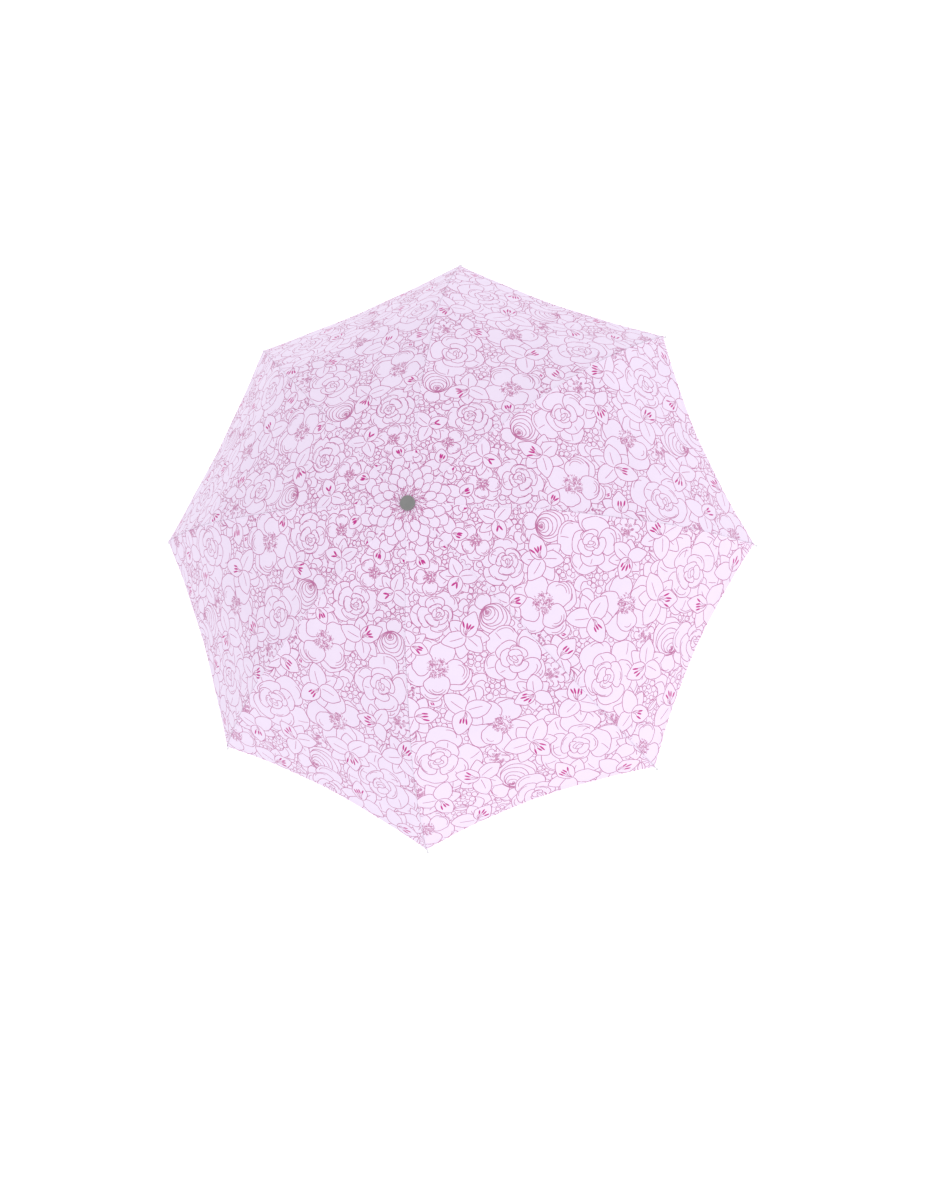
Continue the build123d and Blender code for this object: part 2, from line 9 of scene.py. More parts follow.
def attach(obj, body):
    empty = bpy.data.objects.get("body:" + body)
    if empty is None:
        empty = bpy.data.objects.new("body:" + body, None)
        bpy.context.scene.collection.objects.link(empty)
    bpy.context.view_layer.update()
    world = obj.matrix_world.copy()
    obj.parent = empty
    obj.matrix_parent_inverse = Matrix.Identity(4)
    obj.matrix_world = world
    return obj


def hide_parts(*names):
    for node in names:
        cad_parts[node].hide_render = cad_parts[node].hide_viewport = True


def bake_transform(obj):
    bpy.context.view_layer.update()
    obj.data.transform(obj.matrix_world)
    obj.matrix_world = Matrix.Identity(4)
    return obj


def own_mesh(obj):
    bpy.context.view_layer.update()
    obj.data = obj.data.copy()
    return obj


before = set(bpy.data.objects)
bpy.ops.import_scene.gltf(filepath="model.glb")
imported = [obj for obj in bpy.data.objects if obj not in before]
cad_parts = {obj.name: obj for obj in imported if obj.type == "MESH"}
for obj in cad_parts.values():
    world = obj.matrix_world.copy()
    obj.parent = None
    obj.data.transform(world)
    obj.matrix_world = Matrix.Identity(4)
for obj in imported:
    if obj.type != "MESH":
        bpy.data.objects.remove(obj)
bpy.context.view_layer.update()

# All lengths below are millimetres until they reach a mesh.
MM = 0.001
RIBS = 8
RIB_STEP = math.radians(45)
HALF = RIB_STEP / 2
COS_HALF, SIN_HALF = math.cos(HALF), math.sin(HALF)


# ------------ rib centre lines, as in the frame
class Bar:
    """Centre line of a rib section in its plane: x from the shaft, y height, slopes in degrees down."""

    def __init__(self, x, y, slope_start, slope_end, length):
        self.x, self.y, self.length = x, y, length
        self.slope_start, self.slope_end = slope_start, slope_end

    def point(self, along, above=0.0):
        start = math.radians(self.slope_start)
        here = math.radians(self.slope_start + (self.slope_end - self.slope_start) * along / self.length)
        if abs(here - start) < 1e-9:
            x, y = self.x + along * math.cos(start), self.y - along * math.sin(start)
        else:
            bend = (here - start) / along
            x = self.x + (math.sin(here) - math.sin(start)) / bend
            y = self.y + (math.cos(here) - math.cos(start)) / bend
        return x + above * math.sin(here), y + above * math.cos(here)


# each knee's pin lies this far above or below the lines of the two ribs that it joins
CROWN_Z, HINGE_RADIUS, KNEE = 602.0, 10.0, 1.8
INNER_LENGTH, MIDDLE_LENGTH, OUTER_LENGTH = 182.0, 174.0, 182.0
SLOPE_IN, SLOPE_MID, SLOPE_OUT = (9.1, 9.1), (23.0, 29.0), (36.6, 48.6)
inner_bar = Bar(HINGE_RADIUS, CROWN_Z, *SLOPE_IN, INNER_LENGTH)
knee_1 = inner_bar.point(INNER_LENGTH, KNEE)
middle_bar = Bar(
    knee_1[0] - KNEE * math.sin(math.radians(SLOPE_MID[0])),
    knee_1[1] - KNEE * math.cos(math.radians(SLOPE_MID[0])),
    *SLOPE_MID, MIDDLE_LENGTH)
knee_2 = middle_bar.point(MIDDLE_LENGTH, -KNEE)
outer_bar = Bar(
    knee_2[0] + KNEE * math.sin(math.radians(SLOPE_OUT[0])),
    knee_2[1] + KNEE * math.cos(math.radians(SLOPE_OUT[0])),
    *SLOPE_OUT, OUTER_LENGTH)

# ------------ the cloth's line over a rib
# how high the cloth lies over the crown's hinges and the ribs' lines, and how much lower at each rib's end
CLOTH_TOP, OVER_MIDDLE, MIDDLE_DROP, OVER_OUTER, OUTER_DROP = 7.8, 4.4, 0.4, 4.0, 1.2
HOLE, CROWN_RIM, SAMPLES = 5.0, 13.0, 30
OUTER_START, OUTER_LEVEL = 4, 91
raw = [(HOLE, CROWN_Z + CLOTH_TOP), (CROWN_RIM, CROWN_Z + CLOTH_TOP)]
for a in np.linspace(0, MIDDLE_LENGTH, SAMPLES):
    raw.append(middle_bar.point(a, OVER_MIDDLE - MIDDLE_DROP * a / MIDDLE_LENGTH))
for a in np.linspace(OUTER_START, OUTER_LENGTH, SAMPLES):
    raw.append(outer_bar.point(a, OVER_OUTER - OUTER_DROP * max(0, a - OUTER_LEVEL) / OUTER_LEVEL))
raw = np.array(raw)
corner_r, corner_z = raw[-1]
length = np.r_[0, np.cumsum(np.hypot(*np.diff(raw, axis=0).T))]
fine = np.linspace(0, length[-1], 1000)
rib_r, rib_z = np.interp(fine, length, raw[:, 0]), np.interp(fine, length, raw[:, 1])
# the cloth can't turn as sharply as the rib does at its knees
KNEE_ROUND, ROUND_REACH = 8.0, 22
step = fine[1] - fine[0]
reach = int(ROUND_REACH / step)
window = np.exp(-0.5 * (np.arange(-reach, reach + 1) * step / KNEE_ROUND) ** 2)
window /= window.sum()


def smoothed(v):
    """Values along the cloth's line with their corners rounded, and both ends kept."""
    ends = np.r_[2 * v[0] - v[reach:0:-1], v, 2 * v[-1] - v[-2:-reach - 2:-1]]
    return np.convolve(ends, window, "valid")


rib_r, rib_z = smoothed(rib_r), smoothed(rib_z)
rib_r += (corner_r - rib_r[-1]) * fine / fine[-1]
# distance down the middle of a gore, which is how far along the flat cloth a thread lies
gore_s = np.r_[0, np.cumsum(np.hypot(np.diff(rib_r) * COS_HALF, np.diff(rib_z)))]
gore_s += HOLE
S_END = gore_s[-1]
knee_r = (middle_bar.point(0, OVER_MIDDLE)[0], middle_bar.point(MIDDLE_LENGTH, OVER_OUTER)[0])
knee_s = [float(np.interp(r, rib_r, gore_s)) for r in knee_r]


def radius_at(s):
    return np.interp(s, gore_s, rib_r)


def height_at(s):
    return np.interp(s, gore_s, rib_z)


def half_width(s):
    return radius_at(s) * SIN_HALF


HEM_SCOOP = 13.0
hem_corner = (corner_r * COS_HALF, corner_r * SIN_HALF)
HEM_CURVE = (hem_corner[1] ** 2 + HEM_SCOOP ** 2) / (2 * HEM_SCOOP)


def hem_s(y):
    """Where the hem is along the flat gore, at this distance from its middle."""
    x = hem_corner[0] - HEM_SCOOP + HEM_CURVE - np.sqrt(HEM_CURVE ** 2 - np.asarray(y) ** 2)
    return np.interp(x, rib_r * COS_HALF, gore_s)


def smooth_step(v):
    v = np.clip(v, 0, 1)
    return v * v * (3 - 2 * v)


HEM_BAND = 7.0
SAG, RIDGE, HEM_THICK, WAVE, PUCKER, GATHER = 3.2, 0.8, 0.3, 0.9, 0.16, 0.35


def lift(s, y):
    """How far the cloth stands off the level line between two ribs, along its normal."""
    w = half_width(s)
    side = np.clip(np.abs(y) / w, 0, 1)
    from_seam = np.clip(w - np.abs(y), 0, None)
    open_share = smooth_step((s - 20) / 180)
    sag = -SAG * (1 - side ** 2) * open_share
    ridge = RIDGE * np.exp(-(from_seam / 1.5) ** 2)
    hem = HEM_THICK * smooth_step((s - (hem_s(y) - HEM_BAND)) / 1.2)
    wave = WAVE * np.sin(s / 31 + 1.3 * np.sin(y / 47)) * np.cos(y / 39 + 0.7) * (1 - side ** 4) * open_share
    pucker = PUCKER * np.sin(s / 2.9) * np.exp(-(from_seam / 9) ** 2) * open_share
    gather = GATHER * np.cos(y / w * 9) * np.exp(-(s - 12) / 22) * smooth_step((s - 8) / 8)
    return sag + ridge + hem + wave + pucker + gather


def flat_to_space(s, y, off=0.0):
    """Points in the gore's own frame: x out along its middle, y across, z up."""
    r, z = radius_at(s), height_at(s)
    dr, dz = radius_at(s + 2) - radius_at(s - 2), height_at(s + 2) - height_at(s - 2)
    n = np.stack([-dz, dr * COS_HALF], -1)
    n /= np.maximum(np.linalg.norm(n, axis=-1, keepdims=True), 1e-9)
    up = lift(s, y) + off
    return np.stack([r * COS_HALF + n[..., 0] * up, y + 0 * r, z + n[..., 1] * up], -1)


def space_normals(s, y):
    """The cloth's upward normals at flat points, in the gore's own frame."""
    e = 0.4
    along = flat_to_space(s + e, y) - flat_to_space(s - e, y)
    across = flat_to_space(s, y + e) - flat_to_space(s, y - e)
    n = np.cross(along, across)
    return n / np.maximum(np.linalg.norm(n, axis=-1, keepdims=True), 1e-9)


# ------------ the printed flowers, drawn flat on one gore
draw = np.random.RandomState(41)
PLAIN, INK, DEEP, THREAD = 0, 1, 2, 3
LINE = 1.08


def any_angle():
    return draw.rand() * 6.28


def inside(points, polygon):
    """Which points lie inside a closed polygon."""
    x, y = points[:, 0], points[:, 1]
    hit = np.zeros(len(points), bool)
    ax, ay = polygon[:, 0], polygon[:, 1]
    bx, by = np.roll(ax, -1), np.roll(ay, -1)
    for i in range(len(polygon)):
        crosses = (ay[i] > y) != (by[i] > y)
        if crosses.any():
            at = ax[i] + (y - ay[i]) * (bx[i] - ax[i]) / (by[i] - ay[i] + 1e-12)
            hit ^= crosses & (x < at)
    return hit


class Artwork:
    """Line drawing in which what is drawn first lies in front and hides what comes after it."""

    def __init__(self):
        self.front = []
        self.strokes = []
        self.solids = []

    def seen(self, points):
        ok = np.ones(len(points), bool)
        low, high = points.min(0), points.max(0)
        for polygon, p_low, p_high in self.front:
            if (p_low < high).all() and (p_high > low).all():
                ok &= ~inside(points, polygon)
        return ok

    def line(self, points, width=1.0, closed=False, ink=INK, spacing=2.4):
        points = np.asarray(points, float)
        if closed:
            points = np.vstack([points, points[:1]])
        run = np.r_[0, np.cumsum(np.hypot(*np.diff(points, axis=0).T))]
        count = max(2, int(run[-1] / spacing) + 1)
        at = np.linspace(0, run[-1], count)
        points = np.stack([np.interp(at, run, points[:, 0]), np.interp(at, run, points[:, 1])], -1)
        middle = (points[1:] + points[:-1]) / 2
        ok = self.seen(middle)
        start = None
        for i in range(len(ok) + 1):
            if i < len(ok) and ok[i]:
                start = i if start is None else start
            elif start is not None:
                self.strokes.append((points[start:i + 1], width, ink))
                start = None

    def shape(self, outline, inner=(), width=1.0, spacing=2.4):
        """An opaque petal: its inner lines, then its edge, and then nothing more is seen through it."""
        outline = np.asarray(outline, float)
        for stroke in inner:
            self.line(stroke, width * 0.85, spacing=spacing)
        self.line(outline, width, closed=True, spacing=spacing)
        self.front.append((outline, outline.min(0), outline.max(0)))

    def solid(self, outline):
        outline = np.asarray(outline, float)
        if self.seen(outline).all():
            self.solids.append(outline)


def turned(points, angle, centre):
    """Flat points turned by an angle and carried to a centre."""
    c, s = math.cos(angle), math.sin(angle)
    return np.asarray(points) @ np.array([[c, s], [-s, c]]) + np.asarray(centre)


def petal(centre, angle, length, width, point=0.0, wobble=0.05, root=0.12, n=26):
    """A petal's edge from its root outwards: round at point 0, pointed at 1, with a hand-drawn wobble."""
    t = np.linspace(0, 1, n)
    bulge = np.sin(np.pi * t ** (0.78 + 0.1 * draw.rand())) ** (0.62 + 0.5 * point)
    phase = any_angle()
    ripple = 1 + wobble * np.sin(t * 11 + phase) + wobble * 0.6 * np.sin(t * 19 + phase * 2)
    half = width / 2 * (bulge * ripple + root * (1 - t))
    x = length * t
    side = np.stack([x, half], -1)
    lean = 0.06 * width * math.sin(phase) * np.sin(np.pi * t)
    other = np.stack([x[::-1], (-half * (1 + 0.08 * math.cos(phase)) + lean)[::-1]], -1)
    return turned(np.vstack([side, other[1:]]), angle, centre)


def blob(centre, across, deep, angle, wobble=0.08, n=30):
    """A closed, slightly uneven oval."""
    a = np.linspace(0, 2 * np.pi, n, endpoint=False)
    r = 1 + wobble * np.sin(2 * a + any_angle()) + wobble * 0.7 * np.sin(3 * a + any_angle())
    r = r + wobble * 0.35 * np.sin(7 * a + any_angle())
    return turned(np.stack([deep * r * np.cos(a), across * r * np.sin(a)], -1), angle, centre)


def unit(angle):
    """A step of one millimetre in this direction."""
    return np.array([math.cos(angle), math.sin(angle)])


def ruffled(centre, across, deep, angle, wobble=0.05, n=44):
    """A broad petal seen from the front: an oval with uneven waves round its edge."""
    a = np.linspace(0, 2 * np.pi, n, endpoint=False)
    r = np.ones(n)
    for waves, share in ((2, 0.9), (3, 0.8), (5, 0.5), (8, 0.3)):
        r += wobble * share * np.sin(waves * a + any_angle())
    return turned(np.stack([deep * r * np.cos(a), across * r * np.sin(a)], -1), angle, centre)


def rim_fold(centre, across, deep, angle, inset):
    """The line where a petal's rim rolls back, along part of its edge."""
    middle, span = 0.5 * draw.randn(), 0.5 + 0.5 * draw.rand()
    a = np.linspace(middle - span, middle + span, 16)
    r = inset + 0.10 * np.cos((a - middle) / span * 1.5)
    return turned(np.stack([deep * r * np.cos(a), across * r * np.sin(a)], -1), angle, centre)


def rose(art, centre, size):
    """An open garden rose: a small folded heart off the middle, in broad loose petals."""
    centre = np.asarray(centre, float)
    drift = unit(any_angle()) * size
    spin = any_angle()
    heart = centre - 0.10 * drift
    for out, across, deep in ((0.00, 0.10, 0.06), (0.05, 0.15, 0.08)):
        at = heart + out * size * unit(spin)
        art.shape(ruffled(at, size * across, size * deep, spin, 0.09, 20), [], 0.9, 1.8)
    layers = ((0.14, 0.20, 0.13, 3), (0.29, 0.33, 0.20, 3), (0.47, 0.42, 0.28, 4), (0.70, 0.50, 0.38, 5))
    for depth, (out, across, deep, count) in enumerate(layers):
        spin += 1.1 + 0.5 * draw.rand()
        middle = heart + drift * 0.035 * depth
        for i in range(count):
            angle = spin + 2 * np.pi * i / count + 0.5 * (draw.rand() - 0.5)
            grown = size * (0.86 + 0.28 * draw.rand())
            at = middle + grown * out * unit(angle)
            lines = []
            if draw.rand() < 0.62:
                lines.append(rim_fold(at, grown * across, grown * deep, angle, 0.68 + 0.12 * draw.rand()))
            if depth > 1 and draw.rand() < 0.45:
                t = np.linspace(0.15, 0.8, 8)
                side = 0.5 * across * grown * draw.randn()
                lines.append(turned(np.stack([deep * grown * t, side * t ** 1.6], -1), angle, at))
            art.shape(ruffled(at, grown * across, grown * deep, angle, 0.045), lines, 1.0)


def shell(art, centre, size, angle):
    """A flower seen from the side: crescents nested round a small knot, with ruffled petals behind."""
    centre = np.asarray(centre, float)
    for _ in range(12):
        at = centre + size * 0.10 * math.sqrt(draw.rand()) * unit(any_angle())
        art.line(blob(at, size * 0.035, size * 0.045, draw.rand() * 3, 0.2, 8), 0.75, True, spacing=1.6)
    knot = blob(centre, size * 0.12, size * 0.12, 0, 0.05)
    art.front.append((knot, knot.min(0), knot.max(0)))
    for i in range(6):
        at = centre + (0.03 + 0.085 * i) * size * unit(angle + 0.12 * draw.randn())
        art.shape(ruffled(at, size * (0.19 + 0.105 * i), size * (0.16 + 0.10 * i), angle, 0.03), [], 1.0)
    for turn in (2.5, -2.4, 3.3, 1.5, -1.4):
        at = centre + size * 0.52 * unit(angle + turn)
        fold = rim_fold(at, size * 0.36, size * 0.34, angle + turn, 0.75)
        art.shape(ruffled(at, size * 0.36, size * 0.34, angle + turn, 0.06), [fold], 1.0)


def zinnia(art, centre, size):
    """A small round flower: a scribbled heart in two even rings of petals."""
    centre = np.asarray(centre, float)
    for _ in range(30):
        at = centre + size * 0.42 * math.sqrt(draw.rand()) * unit(any_angle())
        art.line(blob(at, size * 0.05, size * 0.085, draw.rand() * 3, 0.2, 9), 0.75, True, spacing=1.8)
    heart = blob(centre, size * 0.46, size * 0.46, 0, 0.03)
    art.front.append((heart, heart.min(0), heart.max(0)))
    for out, across, deep, count in ((0.58, 0.24, 0.22, 8), (0.80, 0.27, 0.22, 10)):
        spin = any_angle()
        for i in range(count):
            angle = spin + 2 * np.pi * i / count + 0.1 * draw.randn()
            at = centre + size * out * unit(angle)
            art.shape(ruffled(at, size * across, size * deep, angle, 0.04, 24), [], 1.0)


def stamens(art, centre, angle, size, count, bold=1.0):
    """Thin threads that end in solid anthers, all leaning one way."""
    centre = np.asarray(centre, float)
    oval = np.linspace(0, 2 * np.pi, 12, endpoint=False)
    for i in range(count):
        a = angle + (i - (count - 1) / 2) * 0.27 + 0.05 * draw.randn()
        start, end = centre + 1.5 * unit(a), centre + size * (0.30 + 0.10 * draw.rand()) * unit(a)
        art.line([start, (start + end) / 2 + 0.05 * size * unit(a + 1.57), end], 0.8)
        long = bold * (size * 0.09 + 1.6) * (0.85 + 0.3 * draw.rand())
        anther = np.stack([long * np.cos(oval), bold * 1.35 * np.sin(oval)], -1)
        art.solid(turned(anther, a + 0.15 * draw.randn(), end + long * 0.8 * unit(a)))


def lily(art, centre, size, angle):
    """Six pointed petals with a creased middle and dark stamens leaning out of them."""
    size = 1.12 * size
    stamens(art, centre, angle, size, 3 + int(draw.rand() * 2))
    for i, turn in enumerate((0, 2.1, -2.1, 1.05, -1.05, 3.14)):
        a = angle + turn + 0.12 * draw.randn()
        long = size * (1.0 if i < 3 else 0.93) * (0.90 + 0.18 * draw.rand())
        edge = petal(centre, a, long, size * (0.66 if i < 3 else 0.56), 0.2, 0.04)
        rib = []
        if turn and draw.rand() < 0.6:
            t = np.linspace(0.12, 0.66, 8)
            rib = [turned(np.stack([long * t, 1.6 * np.sin(3 * t)], -1), a, centre)]
        art.shape(edge, rib, 1.0)


def anemone(art, centre, size):
    """Short curved strokes crowded into a round heart, with broad ruffled petals round it."""
    centre = np.asarray(centre, float)
    for _ in range(int(3.4 * size)):
        at = centre + size * 0.31 * math.sqrt(draw.rand()) * unit(any_angle())
        out = any_angle()
        art.line([at, at + 2.4 * unit(out), at + 2.4 * unit(out) + 1.8 * unit(out + 1.3)], 0.8, spacing=1.5)
    heart = blob(centre, size * 0.3, size * 0.3, 0, 0.02)
    art.front.append((heart, heart.min(0), heart.max(0)))
    for out, across, deep, count in ((0.55, 0.40, 0.36, 4), (0.70, 0.46, 0.40, 5)):
        spin = any_angle()
        for i in range(count):
            angle = spin + 2 * np.pi * i / count + 0.4 * (draw.rand() - 0.5)
            grown = size * (0.88 + 0.24 * draw.rand())
            at = centre + grown * out * unit(angle)
            folds = [rim_fold(at, grown * across, grown * deep, angle, inset)
                     for inset in (0.78, 0.58) if draw.rand() < 0.6]
            art.shape(ruffled(at, grown * across, grown * deep, angle, 0.055), folds, 1.0)


def five_petals(art, centre, size, angle):
    """A small flower of five round petals with two stamens."""
    stamens(art, centre, angle, size * 1.1, 2, 0.7)
    for i in range(5):
        a = angle + 0.6 + 2 * np.pi * i / 5 + 0.1 * draw.randn()
        art.shape(petal(centre, a, size * (0.95 + 0.1 * draw.rand()), size * 0.86, 0.0, 0.04, 0.2), [], 1.0)


def leaf(art, centre, size, angle):
    """A pointed leaf with one vein."""
    long = size * (0.9 + 0.2 * draw.rand())
    t = np.linspace(0.0, 0.88, 10)
    mid = turned(np.stack([long * t, 1.5 * np.sin(2.5 * t)], -1), angle, centre)
    art.shape(petal(centre, angle, long, size * 0.36, 1.0, 0.02, 0.0), [mid], 1.0)


def berries(art, centre, size, small=3.5):
    """A close cluster of little round heads, some with a dimple."""
    heads = []
    for _ in range(260):
        at = np.asarray(centre) + size * math.sqrt(draw.rand()) * unit(any_angle()) * (1.0, 0.8)
        r = small + 1.6 * draw.rand()
        if all(np.hypot(*(at - other)) > 0.88 * (r + other_r) for other, other_r in heads):
            heads.append((at, r))
    for at, r in heads:
        dimple = [blob(at + 0.3 * r, r * 0.3, r * 0.3, 0, 0.1, 7)] if draw.rand() < 0.12 else []
        art.shape(blob(at, r, r, any_angle(), 0.06, 14), dimple, 0.95)


art = Artwork()
# curved strokes swirl round the cap, and plain petals stand behind them
for ring, count in ((9.5, 6), (15.0, 7), (20.5, 6)):
    for i in range(count):
        a = (i + 0.6 * draw.rand()) / count * RIB_STEP - HALF
        root = (ring + 2.5 * draw.rand()) * unit(a)
        lean = a + 0.45 + 0.25 * draw.randn()
        out = 5 + 4 * draw.rand()
        art.line([root, root + out * 0.5 * unit(lean), root + out * unit(lean - 0.5)], 0.9, spacing=1.8)
for at, across, deep, angle in (((33, -1), 7, 9, 0.1), ((32, -13), 6, 8, -0.4), ((31, 12), 5, 8, 0.4),
                                ((45, -9), 8, 9, -0.2), ((44, 8), 8, 9, 0.2), ((43, -19), 5, 7, -0.5),
                                ((54, 0), 9, 9, 0.0), ((52, 17), 6, 8, 0.4)):
    art.shape(ruffled(at, across, deep, angle, 0.05), [], 1.0)

# for each kind of flower: how far from the cap and across the gore each one lies, its size and its direction
FLOWERS = {
    lily: [
        (204, 8, 32, 2.5), (306, -34, 34, -0.6), (392, 34, 36, 0.4), (286, -104, 32, 1.2),
        (420, -58, 34, -2.2), (352, 118, 34, 2.9), (432, -128, 33, 0.2), (482, 66, 35, -2.7),
        (498, -92, 35, 2.2), (318, 66, 28, -1.4), (74, -13, 22, 0.2), (122, 30, 25, -0.9),
        (500, 130, 33, 1.7), (188, -68, 24, 0.8), (462, 168, 30, 0.9),
    ],
    anemone: [
        (232, -46, 45), (346, 6, 46), (108, -8, 26), (478, -168, 40),
    ],
    rose: [
        (262, 62, 45), (424, 96, 56), (366, -96, 52), (160, -20, 33), (500, 8, 44),
    ],
    shell: [
        (452, -18, 42, 2.4), (182, 48, 32, 0.6), (304, -118, 36, -1.2), (470, 190, 36, 2.0),
    ],
    zinnia: [
        (300, 100, 24), (408, -150, 27), (398, -22, 24), (250, -96, 21), (382, 148, 26),
    ],
    berries: [
        (152, 46, 15, 3.2), (140, -36, 14, 3.2), (206, -88, 18), (236, 14, 17), (288, 20, 16),
        (270, 106, 16), (310, -78, 17), (330, 94, 18), (392, 62, 20), (398, -52, 18), (340, -148, 16),
        (420, 140, 20), (456, 38, 20), (440, -92, 21), (508, -52, 18), (506, 88, 19), (458, -190, 17),
        (96, 24, 12, 2.8), (372, 160, 14), (196, 70, 14),
    ],
    five_petals: [
        (134, -44, 19, 0.4), (216, 44, 22, 2.0), (276, -8, 24, -1.0), (318, 124, 24, 0.7),
        (318, -74, 24, 2.6), (368, 62, 25, -0.4), (440, 40, 26, 1.4), (405, 150, 25, -2.0),
        (268, -74, 21, 0.1), (452, -78, 26, 2.8), (470, 20, 25, -1.6), (378, -142, 24, 1.0),
        (500, -140, 25, -0.5), (90, -30, 15, 1.9), (240, 100, 19, 1.1), (448, 146, 24, 0.2),
        (160, 58, 17, 3.0), (74, 20, 14, 1.2), (508, -45, 25, 0.3), (510, 60, 22, 2.2),
        (170, 18, 18, 0.9),
    ],
}
for make, places in FLOWERS.items():
    for s0, y0, *facts in places:
        make(art, (s0, y0), *facts)
LEAVES, BERRY_TRIES = 46, 6500
for _ in range(LEAVES):
    s0 = 60 + 450 * draw.rand() ** 0.7
    y0 = (2 * draw.rand() - 1) * (0.41 * s0)
    leaf(art, (s0, y0), 26 + 14 * draw.rand(), any_angle())

# clusters of berries fill what is left
placed = []
for _ in range(BERRY_TRIES):
    s0 = 62 + 462 * draw.rand() ** 0.6
    y0 = (2 * draw.rand() - 1) * (0.43 * s0)
    size0 = 3.3 + 1.9 * draw.rand()
    if all((s0 - s1) ** 2 + (y0 - y1) ** 2 > (size0 + size1 - 0.2) ** 2 for s1, y1, size1 in placed):
        ring_points = blob((s0, y0), size0, size0, any_angle(), 0.09, 10)
        if art.seen(np.vstack([ring_points, [(s0, y0)]])).any():
            placed.append((s0, y0, size0))
for s0, y0, size0 in placed:
    art.line(blob((s0, y0), size0, size0, any_angle(), 0.08, 11), 0.85, True, spacing=2.4)


# ------------ ink as faces of the flat cloth
def ribbon(points, width):
    """Corner points of a stroke with this width, two for each of its points."""
    along = np.gradient(points, axis=0)
    along /= np.maximum(np.linalg.norm(along, axis=1, keepdims=True), 1e-9)
    across = np.stack([-along[:, 1], along[:, 0]], -1)
    half = np.full(len(points), width / 2)
    half[0] = half[-1] = width * 0.32
    return np.stack([points + across * half[:, None], points - across * half[:, None]], 1).reshape(-1, 2)


ink_shapes = []
for points, width, ink in art.strokes:
    corners = ribbon(points, width * LINE)
    quads = [[2 * i, 2 * i + 1, 2 * i + 3, 2 * i + 2] for i in range(len(points) - 1)]
    ink_shapes.append((corners, quads, ink))
for outline in art.solids:
    ink_shapes.append((outline, [list(range(len(outline)))], DEEP))

STITCH, STITCH_GAP, STITCH_WIDE = 2.6, 1.2, 0.42


def dashes(low, high):
    """Where each stitch of a row between two places starts."""
    at = low
    while at + STITCH < high:
        yield at
        at += STITCH + STITCH_GAP


def stitches(line):
    """Short stitches along a line on the flat cloth."""
    run = np.r_[0, np.cumsum(np.hypot(*np.diff(line, axis=0).T))]
    for at in dashes(0.0, run[-1]):
        ends = [[np.interp(v, run, line[:, 0]), np.interp(v, run, line[:, 1])] for v in (at, at + STITCH)]
        ink_shapes.append((ribbon(np.array(ends), STITCH_WIDE / 0.64), [[0, 1, 3, 2]], THREAD))


stations = np.linspace(24, S_END - 2, 220)
for side in (-1, 1):
    stitches(np.stack([stations, side * (half_width(stations) - 2.6)], -1))
across_hem = np.linspace(-hem_corner[1] + 8, hem_corner[1] - 8, 120)
stitches(np.stack([hem_s(across_hem) - HEM_BAND + 1.2, across_hem], -1))

SECTIONS = (("inner", HOLE, knee_s[0]), ("middle", *knee_s), ("outer", knee_s[1], S_END))
GRID = 8.0
BESIDE_SEAM = np.array([0.7, 1.5, 2.4, 3.6, 5.4])


def section_outline(name, low, high, side):
    """The edge of half a gore between two stations: along the seam, across, and back up the middle."""
    if name == "outer":
        along = np.linspace(low, S_END, 26)
        seam = np.stack([along, side * half_width(along)], -1)
        y = np.linspace(hem_corner[1], 0, 48)[1:]
        far = np.stack([hem_s(y), side * y], -1)
    else:
        along = np.linspace(low, high, 26)
        seam = np.stack([along, side * half_width(along)], -1)
        y = np.linspace(half_width(high), 0, 18)[1:]
        far = np.stack([np.full(len(y), high), side * y], -1)
    middle = np.stack([np.linspace(far[-1][0], low, 20), np.zeros(20)], -1)[1:]
    y = np.linspace(0, half_width(low), 12 if low > 20 else 4)[1:-1]
    near = np.stack([np.full(len(y), low), side * y], -1)
    outline = np.vstack([seam, far, middle, near])
    return outline if side < 0 else outline[::-1]


def flat_section(name, low, high, side):
    """Half a gore between two stations, as flat triangles: points, faces, and each face's material."""
    edge = section_outline(name, low, high, side)
    points = [edge]
    for s in np.arange(low + 4, S_END, GRID):
        y = np.r_[half_width(s) - BESIDE_SEAM, np.arange(GRID, half_width(s) - 7, GRID)]
        y = y[y > 1]
        limit = high - 1.5 if name != "outer" else hem_s(y) - HEM_BAND - 2
        keep = s < limit
        points.append(np.stack([np.full(len(y), s), side * y], -1)[np.broadcast_to(keep, len(y))])
    if name == "outer":
        y = np.linspace(4, hem_corner[1] - 6, 46)
        for back in (0.6, HEM_BAND - 1.4, HEM_BAND + 0.2):
            points.append(np.stack([hem_s(y) - back, side * y], -1))
    count = sum(len(p) for p in points)
    faces, kinds = [list(range(len(edge)))], [PLAIN]
    box_low, box_high = edge.min(0) - 0.5, edge.max(0) + 0.5
    for corners, polygons, ink in ink_shapes:
        if (corners.max(0) > box_low).all() and (corners.min(0) < box_high).all():
            faces += [[count + i for i in q] for q in polygons]
            kinds += [ink] * len(polygons)
            points.append(corners)
            count += len(corners)
    every = np.vstack(points)
    made = delaunay_2d_cdt([Vector(p) for p in every], [], faces, 0, 1e-4, True)
    where = np.array([tuple(v) for v in made[0]])
    kept, slots = [], []
    for face, came_from in zip(made[2], made[5]):
        if 0 in came_from and len(face) == 3:
            kept.append(face)
            slots.append(max(kinds[i] for i in came_from))
    kept = np.array(kept)
    a, b, c = where[kept[:, 0]], where[kept[:, 1]], where[kept[:, 2]]
    area = ((b - a)[:, 0] * (c - a)[:, 1] - (b - a)[:, 1] * (c - a)[:, 0]) / 2
    kept[area < 0] = kept[area < 0][:, ::-1]
    good = np.abs(area) > 1e-6
    kept, slots, area = kept[good], np.array(slots)[good], np.abs(area[good])
    used, again = np.unique(kept, return_inverse=True)
    return where[used], again.reshape(kept.shape), slots, area.sum()


